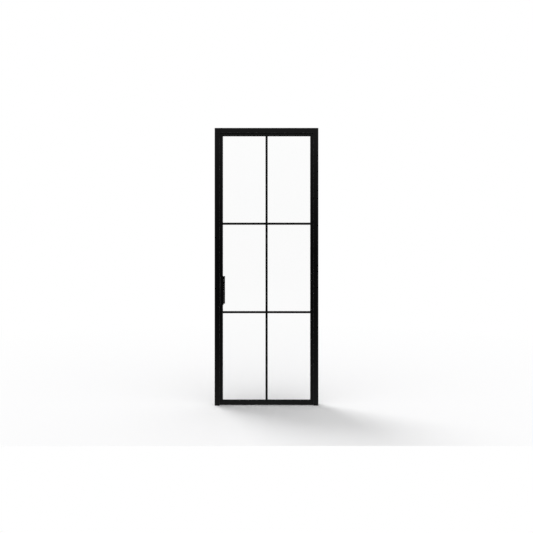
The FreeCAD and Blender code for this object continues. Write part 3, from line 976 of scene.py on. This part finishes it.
def make_hinge_half(node, body, side, length):
    """Barrel, its lug towards side, and the weld beads along the lug's two edges."""
    low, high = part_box(node)
    mesh_maker = new_mesh_maker()
    turn_profile(mesh_maker, barrel_profile(high.y - hinge_y, length), Vector((hinge_x, hinge_y, low.z)),
                 UPWARD, BARREL_SIDES)
    far_x = high.x if side > 0 else low.x
    near_x = hinge_x + side * LUG_START
    lug = rounded_section([
        (near_x, frame_back, 0), (far_x, frame_back, 0), (far_x, hinge_y, LUG_EDGE), (near_x, hinge_y, 0),
    ])
    start = Vector((0, 0, low.z + BARREL_EDGE))
    lug_length = length - 2 * BARREL_EDGE
    push_section(mesh_maker, lug, start, ALONG_X, UPWARD, lambda across: (0, lug_length))
    for x, sideways in ((far_x, ALONG_X * side), (near_x, -ALONG_X * side)):
        foot = start + Vector((x, frame_back, 0))
        weld_run(mesh_maker, foot, foot + UPWARD * lug_length, sideways, ALONG_Y, HINGE_WELD)
    finish_piece(shape_piece(node + "_barrel", mesh_maker), hinge_coat, body, "black_powder_coat", node)


def make_washer_brass():
    """Turned brass, dulled in patches."""
    material, tree, shader = new_material("washer brass")
    shader.inputs["Metallic"].default_value = 1.0
    tarnish = spread(tree, noise(tree, own_place(tree), 250.0, 4), 0.35, 0.7, 0.0, TARNISH_MOST)
    tree.links.new(mix_colours(tree, tarnish, BRASS, TARNISHED_BRASS), shader.inputs["Base Color"])
    tree.links.new(spread(tree, tarnish, 0.0, TARNISH_MOST, 0.26, 0.45), shader.inputs["Roughness"])
    return material


washers = new_mesh_maker()
washer_low, washer_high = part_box("hinge_washers")
washer_radius = (washer_high.x - washer_low.x) / 2
for level in ("lower", "middle", "upper"):
    leaf_low, leaf_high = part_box(level + "_hinge_leaf_half")
    barrel_length = leaf_high.z - leaf_low.z
    make_hinge_half(level + "_hinge_post_half", "frame", 1, barrel_length)
    make_hinge_half(level + "_hinge_leaf_half", "leaf", -1, barrel_length)
    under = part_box(level + "_hinge_post_half")[0].z + barrel_length
    over = leaf_low.z
    turn_profile(washers, [
        (washer_radius - WASHER_LIP, under, 0.5), (washer_radius, under + WASHER_LIP, 1.0),
        (washer_radius, over - WASHER_LIP, 1.0), (washer_radius - WASHER_LIP, over, 0.5),
    ], Vector((hinge_x, hinge_y, 0)), UPWARD, BARREL_SIDES)
finish_piece(shape_piece("hinge_washer_rings", washers), make_washer_brass(), "frame", "washer_brass",
             "hinge_washers")

# Floor and light
# A white studio floor that fades into the white background, lit softly from high on the back left,
# so that the shadow of the door falls forward and to the right.

FLOOR_REACH = 40.0
FLOOR_COLOUR = (0.97, 0.97, 0.975, 1)
FLOOR_ROUGHNESS = 0.9
FADE_START = 0.6
FADE_END = 6.5
FRONT_FADE_START = 1.014
FRONT_FADE_END = 1.026
FLOOR_MIRROR = 0.6
FLOOR_MIRROR_FALL = 0.5
AMBIENT_FRONT = 0.845
AMBIENT_BACK = 0.54
AMBIENT_TURN = 0.4
DIM_HORIZON = 0.01
DIM_HEIGHT = 0.03
BRIGHT_HEIGHT = 0.5
BEHIND_START = -0.1
BEHIND_END = 0.3
KEY_DIRECTION = (0.85, -1.0, -2.4)
KEY_SOFTNESS = 0.37
KEY_STRENGTH = 1.13
door_centre_x = (cad_box[0].x + cad_box[1].x) / 2


def ray_kinds(tree):
    """Shares of a ray that are the eye (also through glass), a mirror image, and light through glass."""
    rays = tree.nodes.new("ShaderNodeLightPath").outputs
    scattered = work_out(tree, "MINIMUM", rays["Diffuse Depth"], 1.0)
    passed = work_out(tree, "MULTIPLY", rays["Is Transmission Ray"], scattered)
    looked = work_out(tree, "SUBTRACT", rays["Is Transmission Ray"], passed)
    seen = work_out(tree, "MAXIMUM", rays["Is Camera Ray"], looked)
    unseen = work_out(tree, "SUBTRACT", 1.0, work_out(tree, "MAXIMUM", seen, passed))
    return seen, work_out(tree, "MULTIPLY", rays["Is Glossy Ray"], unseen), passed


def make_floor():
    """Matt white floor that turns into plain white away from the door, and into the dim hall in mirrors."""
    mesh = bpy.data.meshes.new("floor")
    half = FLOOR_REACH / 2
    mesh.from_pydata([(-half, -half, 0), (half, -half, 0), (half, half, 0), (-half, half, 0)], [],
                     [(0, 1, 2, 3)])
    floor = bpy.data.objects.new("floor", mesh)
    bpy.context.scene.collection.objects.link(floor)
    material, tree, shader = new_material("studio floor")
    shader.inputs["Base Color"].default_value = FLOOR_COLOUR
    shader.inputs["Roughness"].default_value = FLOOR_ROUGHNESS
    shader.inputs["Specular IOR Level"].default_value = 0.0
    place = own_place(tree)
    away = tree.nodes.new("ShaderNodeVectorMath")
    away.operation = "DISTANCE"
    away.inputs[1].default_value = (door_centre_x, 0, 0)
    tree.links.new(place, away.inputs[0])
    distance = away.outputs["Value"]
    round_fade = spread(tree, distance, FADE_START, FADE_END, 0.0, 1.0)
    front_fade = spread(tree, split(tree, place)["Y"], -FRONT_FADE_END, -FRONT_FADE_START, 1.0, 0.0)
    fade = work_out(tree, "MAXIMUM", round_fade, front_fade)
    seen, mirrored, passed = ray_kinds(tree)
    falling = work_out(tree, "ADD", work_out(tree, "MULTIPLY", distance, FLOOR_MIRROR_FALL), 1.0)
    dim = work_out(tree, "DIVIDE", FLOOR_MIRROR, falling)
    glow = tree.nodes.new("ShaderNodeEmission")
    tree.links.new(spread(tree, mirrored, 0.0, 1.0, 1.0, dim), glow.inputs["Strength"])
    mixed = tree.nodes.new("ShaderNodeMixShader")
    tree.links.new(work_out(tree, "ADD", work_out(tree, "MULTIPLY", fade, seen), mirrored), mixed.inputs[0])
    tree.links.new(shader.outputs[0], mixed.inputs[1])
    tree.links.new(glow.outputs[0], mixed.inputs[2])
    tree.links.new(mixed.outputs[0], tree.nodes["Material Output"].inputs["Surface"])
    floor.data.materials.append(material)


def make_world():
    """White to the eye and behind the door; the hall that the front reflects is dim at eye level."""
    world = bpy.data.worlds.new("studio")
    bpy.context.scene.world = world
    world.use_nodes = True
    tree = world.node_tree
    backdrop = tree.nodes["Background"]
    backdrop.inputs["Color"].default_value = (1, 1, 1, 1)
    direction = split(tree, tree.nodes.new("ShaderNodeTexCoord").outputs["Generated"])
    height = work_out(tree, "ABSOLUTE", direction["Z"], 0)
    hall = spread(tree, height, DIM_HEIGHT, BRIGHT_HEIGHT, DIM_HORIZON, 1.0, "SMOOTHSTEP")
    behind = spread(tree, direction["Y"], BEHIND_START, BEHIND_END, 0.0, 1.0)
    gloss = work_out(tree, "MAXIMUM", hall, behind)
    seen, mirrored, passed = ray_kinds(tree)
    ambient = spread(tree, direction["Y"], -AMBIENT_TURN, AMBIENT_TURN, AMBIENT_FRONT, AMBIENT_BACK)
    strength = spread(tree, passed, 0.0, 1.0, ambient, 0.0)
    strength = spread(tree, mirrored, 0.0, 1.0, strength, gloss)
    strength = spread(tree, seen, 0.0, 1.0, strength, 1.0)
    tree.links.new(strength, backdrop.inputs["Strength"])


def make_key_light():
    """Broad soft light from high on the back left."""
    lamp = bpy.data.lights.new("key light", "SUN")
    lamp.angle = KEY_SOFTNESS
    lamp.energy = KEY_STRENGTH
    holder = bpy.data.objects.new("key light", lamp)
    holder.rotation_euler = Vector(KEY_DIRECTION).to_track_quat("-Z", "Y").to_euler()
    bpy.context.scene.collection.objects.link(holder)


make_floor()
make_world()
make_key_light()

# Camera
# Level camera at half the door's height, square to its front, as far away as a 35 mm lens needs.

LENS = 35.0
SENSOR_WIDTH = 36.0
CAMERA_DISTANCE = 4.394
CAMERA_HEIGHT = 1.1797
eye = bpy.data.cameras.new("camera")
eye.lens = LENS
eye.sensor_width = SENSOR_WIDTH
camera = bpy.data.objects.new("camera", eye)
camera.location = (door_centre_x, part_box("head_cover_strip")[0].y - CAMERA_DISTANCE, CAMERA_HEIGHT)
camera.rotation_euler = (math.radians(90), 0, 0)
bpy.context.scene.collection.objects.link(camera)
bpy.context.scene.camera = camera
bpy.context.scene.view_settings.view_transform = "Standard"
